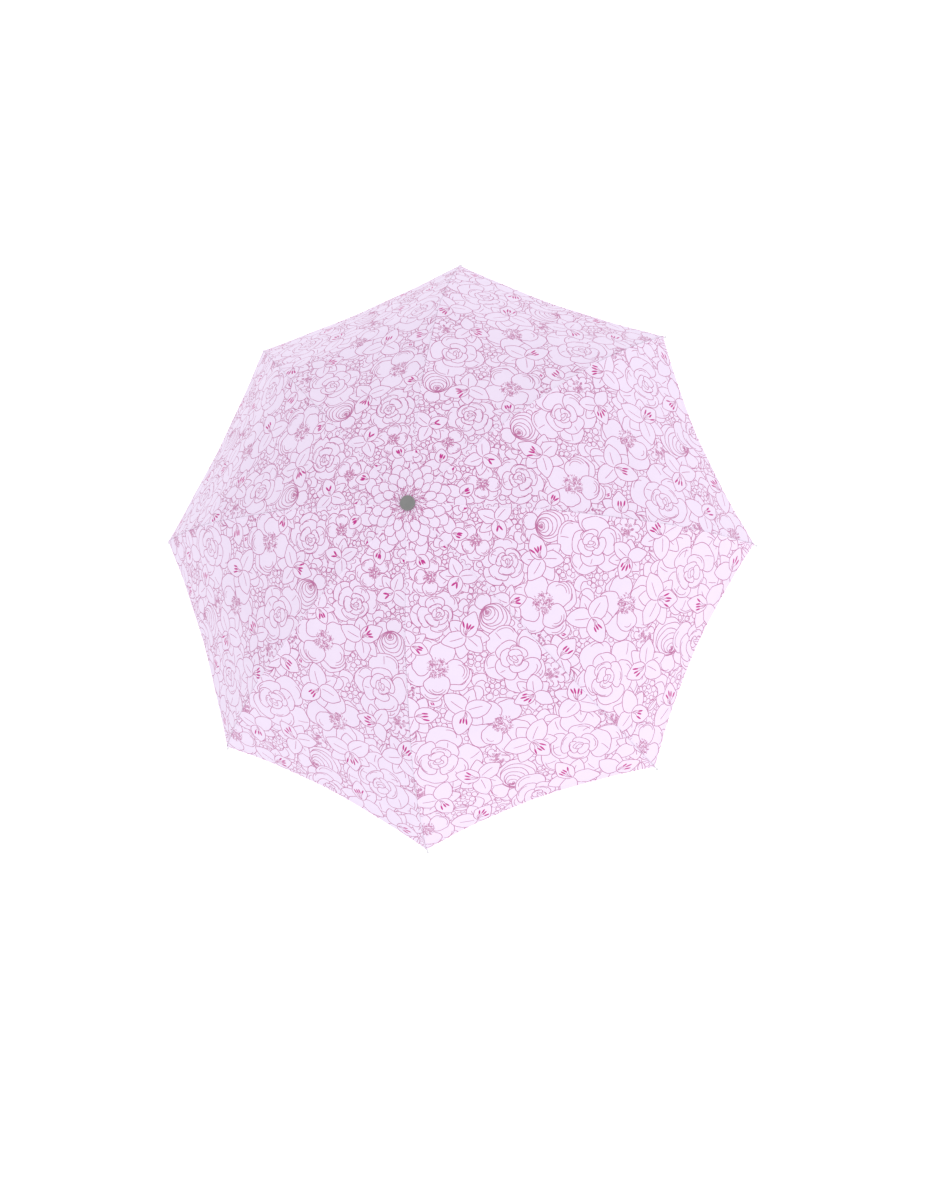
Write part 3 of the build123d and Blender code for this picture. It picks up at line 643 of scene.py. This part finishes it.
def hem_fold(side):
    """The strip that is turned under along the hem: flat points, how far off the cloth, and quads."""
    y = np.linspace(hem_corner[1] - 0.5, 0, 60)
    rows = [(0, 0.0), (-0.25, -0.35), (0.0, -0.8), (HEM_BAND - 0.5, -0.75), (HEM_BAND, -0.3)]
    flat = np.vstack([np.stack([hem_s(y) - back, side * y], -1) for back, _ in rows])
    off = np.repeat([o for _, o in rows], len(y))
    quads = []
    for j in range(len(rows) - 1):
        for i in range(len(y) - 1):
            q = [j * len(y) + i, j * len(y) + i + 1, (j + 1) * len(y) + i + 1, (j + 1) * len(y) + i]
            quads.append(q if side > 0 else q[::-1])
    return flat, off, quads


def rotated(points, angle):
    """Points turned about the shaft."""
    c, s = math.cos(angle), math.sin(angle)
    return points @ np.array([[c, s, 0], [-s, c, 0], [0, 0, 1]])


def new_piece(name, points, faces, materials, smooth, slots=None, flat=None):
    """An object from points in millimetres. Its first faces, as many as smooth says, are shaded smooth. slots
    are the faces' materials, and flat is where the points lie on the flat cloth."""
    mesh = bpy.data.meshes.new(name)
    mesh.from_pydata((np.asarray(points) * MM).tolist(), [], faces)
    for m in materials:
        mesh.materials.append(m)
    if slots is not None:
        mesh.polygons.foreach_set("material_index", np.asarray(slots, np.int32))
    mesh.polygons.foreach_set("use_smooth", np.arange(len(faces)) < smooth)
    if flat is not None:
        attribute = mesh.attributes.new("flat_cloth", "FLOAT_VECTOR", "POINT")
        attribute.data.foreach_set("vector", (flat * MM).astype(np.float32).ravel())
    mesh.update()
    thing = bpy.data.objects.new(name, mesh)
    bpy.context.scene.collection.objects.link(thing)
    return thing


# ------------ materials
def material(name, colour, roughness=0.5, metallic=0.0, **more):
    """A new material; more names other inputs of its shader."""
    m = bpy.data.materials.new(name)
    m.use_nodes = True
    shader = m.node_tree.nodes["Principled BSDF"]
    shader.inputs["Base Color"].default_value = (*colour, 1)
    shader.inputs["Roughness"].default_value = roughness
    shader.inputs["Metallic"].default_value = metallic
    for key, value in more.items():
        shader.inputs[key.replace("_", " ")].default_value = value
    m.diffuse_color = (*colour, 1)
    return m


def add(m, kind, **inputs):
    node = m.node_tree.nodes.new(kind)
    for key, value in inputs.items():
        node.inputs[key.replace("_", " ")].default_value = value
    return node


def link(m, a, b):
    m.node_tree.links.new(a, b)


def ranged(m, source, low, high, from_low=0.0, from_high=1.0):
    """A value carried from one range to another."""
    node = add(m, "ShaderNodeMapRange")
    node.inputs["From Min"].default_value = from_low
    node.inputs["From Max"].default_value = from_high
    node.inputs["To Min"].default_value = low
    node.inputs["To Max"].default_value = high
    link(m, source, node.inputs["Value"])
    return node.outputs["Result"]


def two_colours(m, source, dark, light):
    """A colour between two, by a value."""
    ramp = add(m, "ShaderNodeValToRGB")
    ramp.color_ramp.elements[0].color = (*dark, 1)
    ramp.color_ramp.elements[1].color = (*light, 1)
    link(m, source, ramp.inputs["Fac"])
    return ramp.outputs["Color"]


def bump(m, source, strength, distance):
    node = add(m, "ShaderNodeBump", Strength=strength, Distance=distance)
    link(m, source, node.inputs["Height"])
    link(m, node.outputs["Normal"], m.node_tree.nodes["Principled BSDF"].inputs["Normal"])


def cloth_material(name, dark, light, roughness, sheen):
    """Fine plain weave, with threads that vary a little, over a colour that drifts slowly."""
    m = material(name, light, roughness, Sheen_Weight=sheen, Sheen_Roughness=0.4)
    shader = m.node_tree.nodes["Principled BSDF"]
    flat = m.node_tree.nodes.new("ShaderNodeAttribute")
    flat.attribute_name = "flat_cloth"
    drift = add(m, "ShaderNodeTexNoise", Scale=14.0, Detail=3.0)
    link(m, flat.outputs["Vector"], drift.inputs["Vector"])
    link(m, two_colours(m, drift.outputs["Fac"], dark, light), shader.inputs["Base Color"])
    threads = []
    for axis in ("X", "Y"):
        wave = add(m, "ShaderNodeTexWave", Scale=520.0, Distortion=0.6, Detail=1.0)
        wave.bands_direction = axis
        link(m, flat.outputs["Vector"], wave.inputs["Vector"])
        threads.append(wave.outputs["Fac"])
    both = m.node_tree.nodes.new("ShaderNodeMath")
    both.operation = "ADD"
    link(m, threads[0], both.inputs[0])
    link(m, threads[1], both.inputs[1])
    bump(m, both.outputs[0], 0.25, 0.0001)
    link(m, ranged(m, drift.outputs["Fac"], roughness - 0.05, roughness + 0.05), shader.inputs["Roughness"])
    return m


def moulded(name, dark, light, rough, grain=900.0, depth=0.00006, **more):
    """Moulded plastic: fine grain, slow change of shade and polish."""
    m = material(name, light, rough, **more)
    shader = m.node_tree.nodes["Principled BSDF"]
    place = m.node_tree.nodes.new("ShaderNodeTexCoord")
    slow = add(m, "ShaderNodeTexNoise", Scale=60.0, Detail=4.0)
    fine_grain = add(m, "ShaderNodeTexNoise", Scale=grain, Detail=2.0)
    for n in (slow, fine_grain):
        link(m, place.outputs["Object"], n.inputs["Vector"])
    link(m, two_colours(m, slow.outputs["Fac"], dark, light), shader.inputs["Base Color"])
    polish = ranged(m, slow.outputs["Fac"], rough - 0.07, rough + 0.09, 0.3, 0.7)
    link(m, polish, shader.inputs["Roughness"])
    bump(m, fine_grain.outputs["Fac"], 0.5, depth)
    return m


def drawn_metal(name, dark, light, rough, stretch=(1, 1, 1), **more):
    """Rolled or drawn metal: fine streaks along one direction and slightly uneven polish."""
    m = material(name, light, rough, 1.0, **more)
    shader = m.node_tree.nodes["Principled BSDF"]
    place = m.node_tree.nodes.new("ShaderNodeTexCoord")
    scale = m.node_tree.nodes.new("ShaderNodeMapping")
    scale.inputs["Scale"].default_value = stretch
    link(m, place.outputs["Object"], scale.inputs["Vector"])
    streak = add(m, "ShaderNodeTexNoise", Scale=700.0, Detail=3.0)
    slow = add(m, "ShaderNodeTexNoise", Scale=45.0, Detail=3.0)
    link(m, scale.outputs["Vector"], streak.inputs["Vector"])
    link(m, place.outputs["Object"], slow.inputs["Vector"])
    link(m, two_colours(m, slow.outputs["Fac"], dark, light), shader.inputs["Base Color"])
    polish = ranged(m, streak.outputs["Fac"], rough - 0.08, rough + 0.12, 0.3, 0.7)
    link(m, polish, shader.inputs["Roughness"])
    bump(m, streak.outputs["Fac"], 0.2, 0.00002)
    return m


CLOTH_DARK, CLOTH_LIGHT = (0.84, 0.72, 0.88), (0.89, 0.77, 0.92)
cloth_slots = [
    cloth_material("Cloth", CLOTH_DARK, CLOTH_LIGHT, 0.62, 0.12),
    cloth_material("PrintPink", (0.46, 0.12, 0.295), (0.54, 0.17, 0.365), 0.6, 0.1),
    cloth_material("PrintMagenta", (0.50, 0.012, 0.22), (0.58, 0.025, 0.29), 0.58, 0.1),
    cloth_material("Thread", (0.76, 0.63, 0.82), (0.82, 0.70, 0.87), 0.5, 0.2),
]


def cloth_piece(name, points, faces, slots, normals, flat):
    """A piece of the printed cloth, with the normals that it has before it is cut."""
    thing = new_piece(name, points, faces, cloth_slots, len(faces), slots, flat)
    thing.data.normals_split_custom_set_from_vertices(normals.tolist())
    return thing


SEAM_HALF, SEAM_UNDER, SEAM_STEP = 3.0, -0.5, 4.0


def folded_seam(name, turned_by):
    """The folded seam under the cloth along an outer rib, too thick to flatten when the canopy closes."""
    rows = np.arange(knee_s[1] + 1, S_END - 1, SEAM_STEP)
    across = np.linspace(0, SEAM_HALF, 5)
    points, normals, flats, faces = [], [], [], []
    for side, turn in ((-1, HALF), (1, -HALF)):
        s = np.repeat(rows, len(across))
        y = side * (half_width(s) - np.tile(across, len(rows)))
        for i in range(len(rows) - 1):
            for j in range(len(across) - 1):
                a = len(points) * len(s) + i * len(across) + j
                quad = [a, a + len(across), a + len(across) + 1, a + 1]
                faces.append(quad if side < 0 else quad[::-1])
        points.append(rotated(flat_to_space(s, y, SEAM_UNDER), turn))
        normals.append(rotated(space_normals(s, y), turn))
        flats.append(np.column_stack([s, y, 0 * s]))
    return cloth_piece(name, rotated(np.vstack(points), turned_by), faces, [PLAIN] * len(faces),
                       rotated(np.vstack(normals), turned_by), np.vstack(flats))


for section, low, high in SECTIONS:
    points, normals, faces, slots, flats, area = [], [], [], [], [], 0.0
    count = 0
    for side, turn in ((-1, HALF), (1, -HALF)):
        flat, tris, kinds, part_area = flat_section(section, low, high, side)
        area += part_area
        batches = [(flat, 0.0, tris.tolist(), kinds)]
        if section == "outer":
            strip, off, quads = hem_fold(side)
            batches.append((strip, off, quads, np.zeros(len(quads), int)))
        for where, off, some_faces, kinds in batches:
            points.append(rotated(flat_to_space(where[:, 0], where[:, 1], off), turn))
            n = rotated(space_normals(where[:, 0], where[:, 1]), turn)
            # the part of the hem that is turned under faces down
            if np.ndim(off):
                n = np.where(np.asarray(off)[:, None] < -0.5, -n, n)
            normals.append(n)
            flats.append(np.column_stack([where, np.zeros(len(where))]))
            faces += [[count + i for i in f] for f in some_faces]
            slots += list(kinds)
            count += len(where)
    points, normals, flats = np.vstack(points), np.vstack(normals), np.vstack(flats)
    wide = 2 * half_width(high) if section != "outer" else 2 * hem_corner[1]
    for k in range(RIBS):
        angle = RIB_STEP * k
        piece = cloth_piece(f"cloth_{section}_{k + 1}", rotated(points, angle), faces, slots,
                            rotated(normals, angle), flats)
        body = f"rib_{section}_{k + 1}"
        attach(piece, body)
        across = (-math.sin(angle), math.cos(angle), 0)
        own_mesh(piece)
        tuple(across)
        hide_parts(f"gore_{k + 1}")
        folds = []
        if section == "outer":
            folds = [folded_seam(f"seam_outer_{k + 1}", angle)]
            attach(folds[0], body)

# ------------ CAD nodes that stay, with finishes of their own
rib_metal = drawn_metal("RibMetal", (0.40, 0.41, 0.43), (0.54, 0.55, 0.57), 0.34)
stretcher_metal = drawn_metal("StretcherMetal", (0.30, 0.31, 0.33), (0.42, 0.43, 0.45), 0.30)
tube_metal = drawn_metal("TubeMetal", (0.36, 0.37, 0.39), (0.48, 0.49, 0.51), 0.2, (1, 1, 0.03))
spring_metal = drawn_metal("SpringMetal", (0.28, 0.28, 0.29), (0.40, 0.40, 0.41), 0.3)
wire_metal = drawn_metal("WireMetal", (0.32, 0.32, 0.33), (0.45, 0.45, 0.46), 0.35)
hub_plastic = moulded("HubPlastic", (0.035, 0.035, 0.038), (0.055, 0.055, 0.06), 0.42)
cap_plastic = moulded("CapPlastic", (0.17, 0.175, 0.165), (0.245, 0.245, 0.235), 0.42, 350.0,
                      Coat_Weight=0.1)
grip_plastic = moulded("GripRubber", (0.03, 0.03, 0.033), (0.05, 0.05, 0.054), 0.58, 700.0, 0.00015)
button_plastic = moulded("ButtonPlastic", (0.40, 0.41, 0.42), (0.50, 0.51, 0.52), 0.28, Coat_Weight=0.3)
rod_fibre = moulded("RodFibre", (0.60, 0.60, 0.60), (0.74, 0.74, 0.73), 0.40, 1600.0, 0.00003)
tip_plastic = moulded("TipPlastic", (0.66, 0.66, 0.67), (0.80, 0.80, 0.81), 0.32)


def finish_of(node):
    """The main material of a CAD node that stays."""
    if node.startswith("rib_outer"):
        return rod_fibre
    if node.startswith("rib_"):
        return rib_metal
    if node.startswith("stretcher"):
        return stretcher_metal
    if node.startswith("tube"):
        return tube_metal
    if node.endswith("wire"):
        return wire_metal
    if node == "cap":
        return cap_plastic
    if node.startswith("handle"):
        return grip_plastic
    if node == "button":
        return button_plastic
    return hub_plastic


# an outer rib is a metal ferrule, a fibre rod and a moulded tip
FERRULE_END, TIP_COVER = 18.0, 8.0
tip_from = outer_bar.point(OUTER_LENGTH - TIP_COVER)[0]
for node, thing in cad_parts.items():
    if node.startswith("gore") or node in ("tie_strap", "main_spring", "button_spring"):
        continue
    thing.data.materials.clear()
    thing.data.materials.append(finish_of(node))
    if node.startswith("rib_outer"):
        thing.data.materials.append(rib_metal)
        thing.data.materials.append(tip_plastic)
        for face in thing.data.polygons:
            at = thing.matrix_world @ face.center
            out, up = math.hypot(at.x, at.y) / MM, at.z / MM
            if math.hypot(out - knee_2[0], up - knee_2[1]) < FERRULE_END + 0.6:
                face.material_index = 1
            elif out > tip_from - 0.3:
                face.material_index = 2

# ------------ springs, wound as coils that stand for the CAD springs
SPRING_LOW, SPRING_HIGH, SPRING_R, SPRING_WIRE, SPRING_TURNS = 12.6, 606.4, 3.4, 0.6, 40
BUTTON_Z, COIL_IN, COIL_OUT, COIL_TURNS, COIL_RADII, COIL_WIRE = 48.0, -6.1, -10.1, 3, (2.6, 1.25), 0.22


def coil(name, start, end, turns, radii, wire, steps=24, sides=8):
    """Round wire wound from start to end, with the winding's radii at each."""
    start, end, across = np.array(start, float), np.array(end, float), np.array([1.0, 0, 0])
    axis = (end - start) / np.linalg.norm(end - start)
    other = np.cross(axis, across)
    count = round(turns * steps)
    points, faces = [], []
    for i in range(count + 1):
        t = i / count
        a = 2 * math.pi * turns * t
        out = math.cos(a) * across + math.sin(a) * other
        centre = start + (end - start) * t + (radii[0] + (radii[1] - radii[0]) * t) * out
        for j in range(sides):
            b = 2 * math.pi * j / sides
            points.append(centre + wire * (math.cos(b) * out + math.sin(b) * axis))
            if i < count:
                c, d = i * sides + j, i * sides + (j + 1) % sides
                faces.append([c, c + sides, d + sides, d])
    wound = len(faces)
    faces += [list(range(sides)), [count * sides + j for j in reversed(range(sides))]]
    return new_piece(name, points, faces, [spring_metal], wound)


def joint_spring(name, node, bodies, start, end, turns, radii, wire):
    """A coil that stands for a CAD spring, whose part it hides."""
    piece = coil(name, start, end, turns, radii, wire)
    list(bodies)
    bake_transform(piece)
    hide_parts(node)


# the drive spring shortens with two joints, so it is cut in two inside the middle tube
spring_middle = (SPRING_LOW + SPRING_HIGH) / 2
spring_parts = (("drive_spring_lower", ("handle", "middle_tube"), SPRING_LOW, spring_middle),
                ("drive_spring_upper", ("middle_tube", "upper_tube"), spring_middle, SPRING_HIGH))
for name, bodies, low, high in spring_parts:
    joint_spring(name, "main_spring", bodies, (0, 0, low), (0, 0, high), SPRING_TURNS // 2,
                 (SPRING_R, SPRING_R), SPRING_WIRE)
# the button's is a tapered coil, whose turns lie inside one another when the button is pressed
joint_spring("release_spring", "button_spring", ("handle", "button"), (0, COIL_IN, BUTTON_Z),
             (0, COIL_OUT, BUTTON_Z), COIL_TURNS, COIL_RADII, COIL_WIRE)

# ------------ closing strap, sewn under one gore
STRAP_RIB, STRAP_HALF, STRAP_FROM, STRAP_TO = 6, 9.0, 326.0, 430.0
strap_s = [float(np.interp(x, rib_r * COS_HALF, gore_s)) for x in (STRAP_FROM, STRAP_TO)]
pad_felt = moulded("HookPad", (0.62, 0.55, 0.66), (0.78, 0.70, 0.80), 0.95, 2600.0, 0.0006, Sheen_Weight=0.5)


def strap_strip(low, high, half, top, bottom, round_end, rows=54, columns=8):
    """A flat closed strip under the gore: flat points, how far off the cloth they lie, and quads."""
    flat, off, quads = [], [], []
    for i, s in enumerate(np.linspace(low, high, rows)):
        left = 1 - min(1.0, (s - low + 0.35) / half) if round_end else 0.0
        w = half * math.sqrt(max(0.0, 1 - left * left))
        y = np.linspace(-w, w, columns)
        flat += [(s, v) for v in y] + [(s, v) for v in y[::-1]]
        off += [top] * columns + [bottom] * columns
    around = 2 * columns
    for i in range(rows - 1):
        for j in range(around):
            a, b = i * around + j, i * around + (j + 1) % around
            quads.append([a, a + around, b + around, b])
    last = (rows - 1) * around
    for start, order in ((0, 1), (last, -1)):
        for j in range(columns - 1):
            quads.append([start + j, start + j + 1, start + around - 2 - j, start + around - 1 - j][::order])
    return np.array(flat, float), np.array(off, float), quads


def strap_piece(name, batches, materials):
    """One object from flat strips: each is flat points, offsets, faces and a material index."""
    angle = RIB_STEP * (STRAP_RIB - 1)
    points, faces, slots, flats, count = [], [], [], [], 0
    for flat, off, some_faces, slot in batches:
        points.append(rotated(flat_to_space(flat[:, 0], flat[:, 1], off), HALF + angle))
        flats.append(np.column_stack([flat, np.zeros(len(flat))]))
        faces += [[count + i for i in f] for f in some_faces]
        slots += [slot] * len(some_faces)
        count += len(flat)
    thing = new_piece(name, np.vstack(points), faces, materials, 0, slots, np.vstack(flats))
    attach(thing, f"rib_outer_{STRAP_RIB}")
    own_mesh(thing)
    return thing


STRAP_TOP, STRAP_UNDER, ROW_OFFSET = -1.3, -2.5, 7.4
batches = [(*strap_strip(*strap_s, STRAP_HALF, STRAP_TOP, STRAP_UNDER, True), 0)]
rows = []
for side in (-1, 1):
    for at in dashes(strap_s[0] + 6.0, strap_s[1] - 2):
        rows.append([(at, side * ROW_OFFSET), (at + STITCH, side * ROW_OFFSET)])
for along in (strap_s[1] - 3.0, strap_s[1] - 9.0):
    for at in dashes(-7.0, ROW_OFFSET):
        rows.append([(along, at), (along, at + STITCH)])
for ends in rows:
    stitch = ribbon(np.array(ends), STITCH_WIDE / 0.5)
    batches.append((stitch, np.full(4, STRAP_UNDER - 0.08), [[0, 2, 3, 1]], 1))
strap = strap_piece("closing_strap", batches, [cloth_slots[PLAIN], cloth_slots[THREAD]])
PAD_FROM, PAD_TO, PAD_HALF = 4, 20, 6.2
pad_strip = strap_strip(strap_s[0] + PAD_FROM, strap_s[0] + PAD_TO, PAD_HALF, STRAP_UNDER + 0.1,
                        STRAP_UNDER - 1.0, False, 14)
pad = strap_piece("strap_hook_pad", [(*pad_strip, 0)], [pad_felt])
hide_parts("tie_strap")

# ------------ thread ties, which hold the cloth to the ribs
tie_thread = moulded("TieThread", (0.70, 0.60, 0.76), (0.82, 0.72, 0.86), 0.8, 3000.0, 0.00008)
TIE_WIRE, TIE_WIDE, TIE_LOW, TIE_HIGH = 0.28, 2.1, -2.3, 3.7


def tie_loops(bar, places):
    """Two turns of thread round a rib at each of these places: points in the rib's plane, and quads."""
    points, quads = [], []
    turns, sides = 20, 6
    for along in places:
        for shift in (-0.35, 0.35):
            start = len(points)
            for i in range(turns):
                a = 2 * math.pi * i / turns
                for j in range(sides):
                    b = 2 * math.pi * j / sides
                    grow = TIE_WIRE * math.cos(b)
                    up = (TIE_HIGH + TIE_LOW) / 2 + ((TIE_HIGH - TIE_LOW) / 2 + grow) * math.sin(a)
                    out, z = bar.point(along + shift + TIE_WIRE * math.sin(b) + 0.3 * math.sin(a), up)
                    points.append((out, (TIE_WIDE + grow) * math.cos(a), z))
            for i in range(turns):
                for j in range(sides):
                    here, there = start + i * sides, start + (i + 1) % turns * sides
                    beside = (j + 1) % sides
                    quads.append([here + j, here + beside, there + beside, there + j])
    return np.array(points), quads


TIED = (("middle", middle_bar, (58, 116)), ("outer", outer_bar, (48, 96, 140)))
for section, bar, places in TIED:
    loops, quads = tie_loops(bar, places)
    for k in range(RIBS):
        name = f"ties_{section}_{k + 1}"
        thing = new_piece(name, rotated(loops, RIB_STEP * k), quads, [tie_thread], len(quads))
        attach(thing, f"rib_{section}_{k + 1}")

# ------------ studio
FLOOR_HALF = 14000.0
floor_corners = [(x, y, 0) for x, y in ((-1, -1), (1, -1), (1, 1), (-1, 1))]
floor_paper = material("FloorPaper", (0.90, 0.90, 0.90), 0.9, Specular_IOR_Level=0.0,
                       Emission_Color=(1, 1, 1, 1), Emission_Strength=0.36)
floor = new_piece("studio_floor", np.array(floor_corners) * FLOOR_HALF, [(0, 1, 2, 3)], [floor_paper], 0)

world = bpy.data.worlds.new("Studio")
bpy.context.scene.world = world
world.use_nodes = True
world.node_tree.nodes["Background"].inputs["Color"].default_value = (0.965, 0.965, 1.0, 1)
world.node_tree.nodes["Background"].inputs["Strength"].default_value = 1.0
bpy.context.scene.view_settings.view_transform = "Standard"


def area_light(name, place, aim, size, power, colour):
    """A round light at a place, turned to shine on another."""
    lamp = bpy.data.lights.new(name, "AREA")
    lamp.shape, lamp.size, lamp.energy, lamp.color = "DISK", size, power, colour
    thing = bpy.data.objects.new(name, lamp)
    thing.location = place
    thing.rotation_mode = "QUATERNION"
    thing.rotation_quaternion = (Vector(aim) - Vector(place)).to_track_quat("-Z", "Y")
    bpy.context.scene.collection.objects.link(thing)


area_light("key", (1.9, -1.7, 2.2), (0, 0, 0.5), 1.6, 12, (1.0, 0.985, 0.93))

# ------------ camera
# the canopy is seen under these tilts; its top lies this far right, down and away, in canopy radii
TILT_X, TILT_Y, TILT_Z = math.radians(-10.5), math.radians(11.6), math.radians(0.9)
TOP_SEEN, DOME, FOCAL_MM, SENSOR_MM = np.array([-0.164, -0.281, 3.0]), 0.493, 31.185, 36
cx, sx, cy, sy, cz, sz = (f(v) for v in (TILT_X, TILT_Y, TILT_Z) for f in (math.cos, math.sin))
turn_x = np.array([[1, 0, 0], [0, cx, -sx], [0, sx, cx]])
turn_y = np.array([[cy, 0, sy], [0, 1, 0], [-sy, 0, cy]])
turn_z = np.array([[cz, -sz, 0], [sz, cz, 0], [0, 0, 1]])
axes = np.diag([1, -1, -1]) @ (turn_y @ turn_x @ turn_z).T
top = np.array([0, 0, (corner_z + DOME * corner_r) * MM])
pose = np.eye(4)
pose[:3, :3] = axes * (1, -1, -1)
pose[:3, 3] = top + corner_r * MM * axes @ (-TOP_SEEN)
camera = bpy.data.objects.new("camera", bpy.data.cameras.new("camera"))
camera.matrix_world = Matrix(pose.tolist())
camera.data.sensor_width = SENSOR_MM
camera.data.lens = FOCAL_MM
camera.data.clip_start, camera.data.clip_end = 0.01, 60
bpy.context.scene.collection.objects.link(camera)
bpy.context.scene.camera = camera
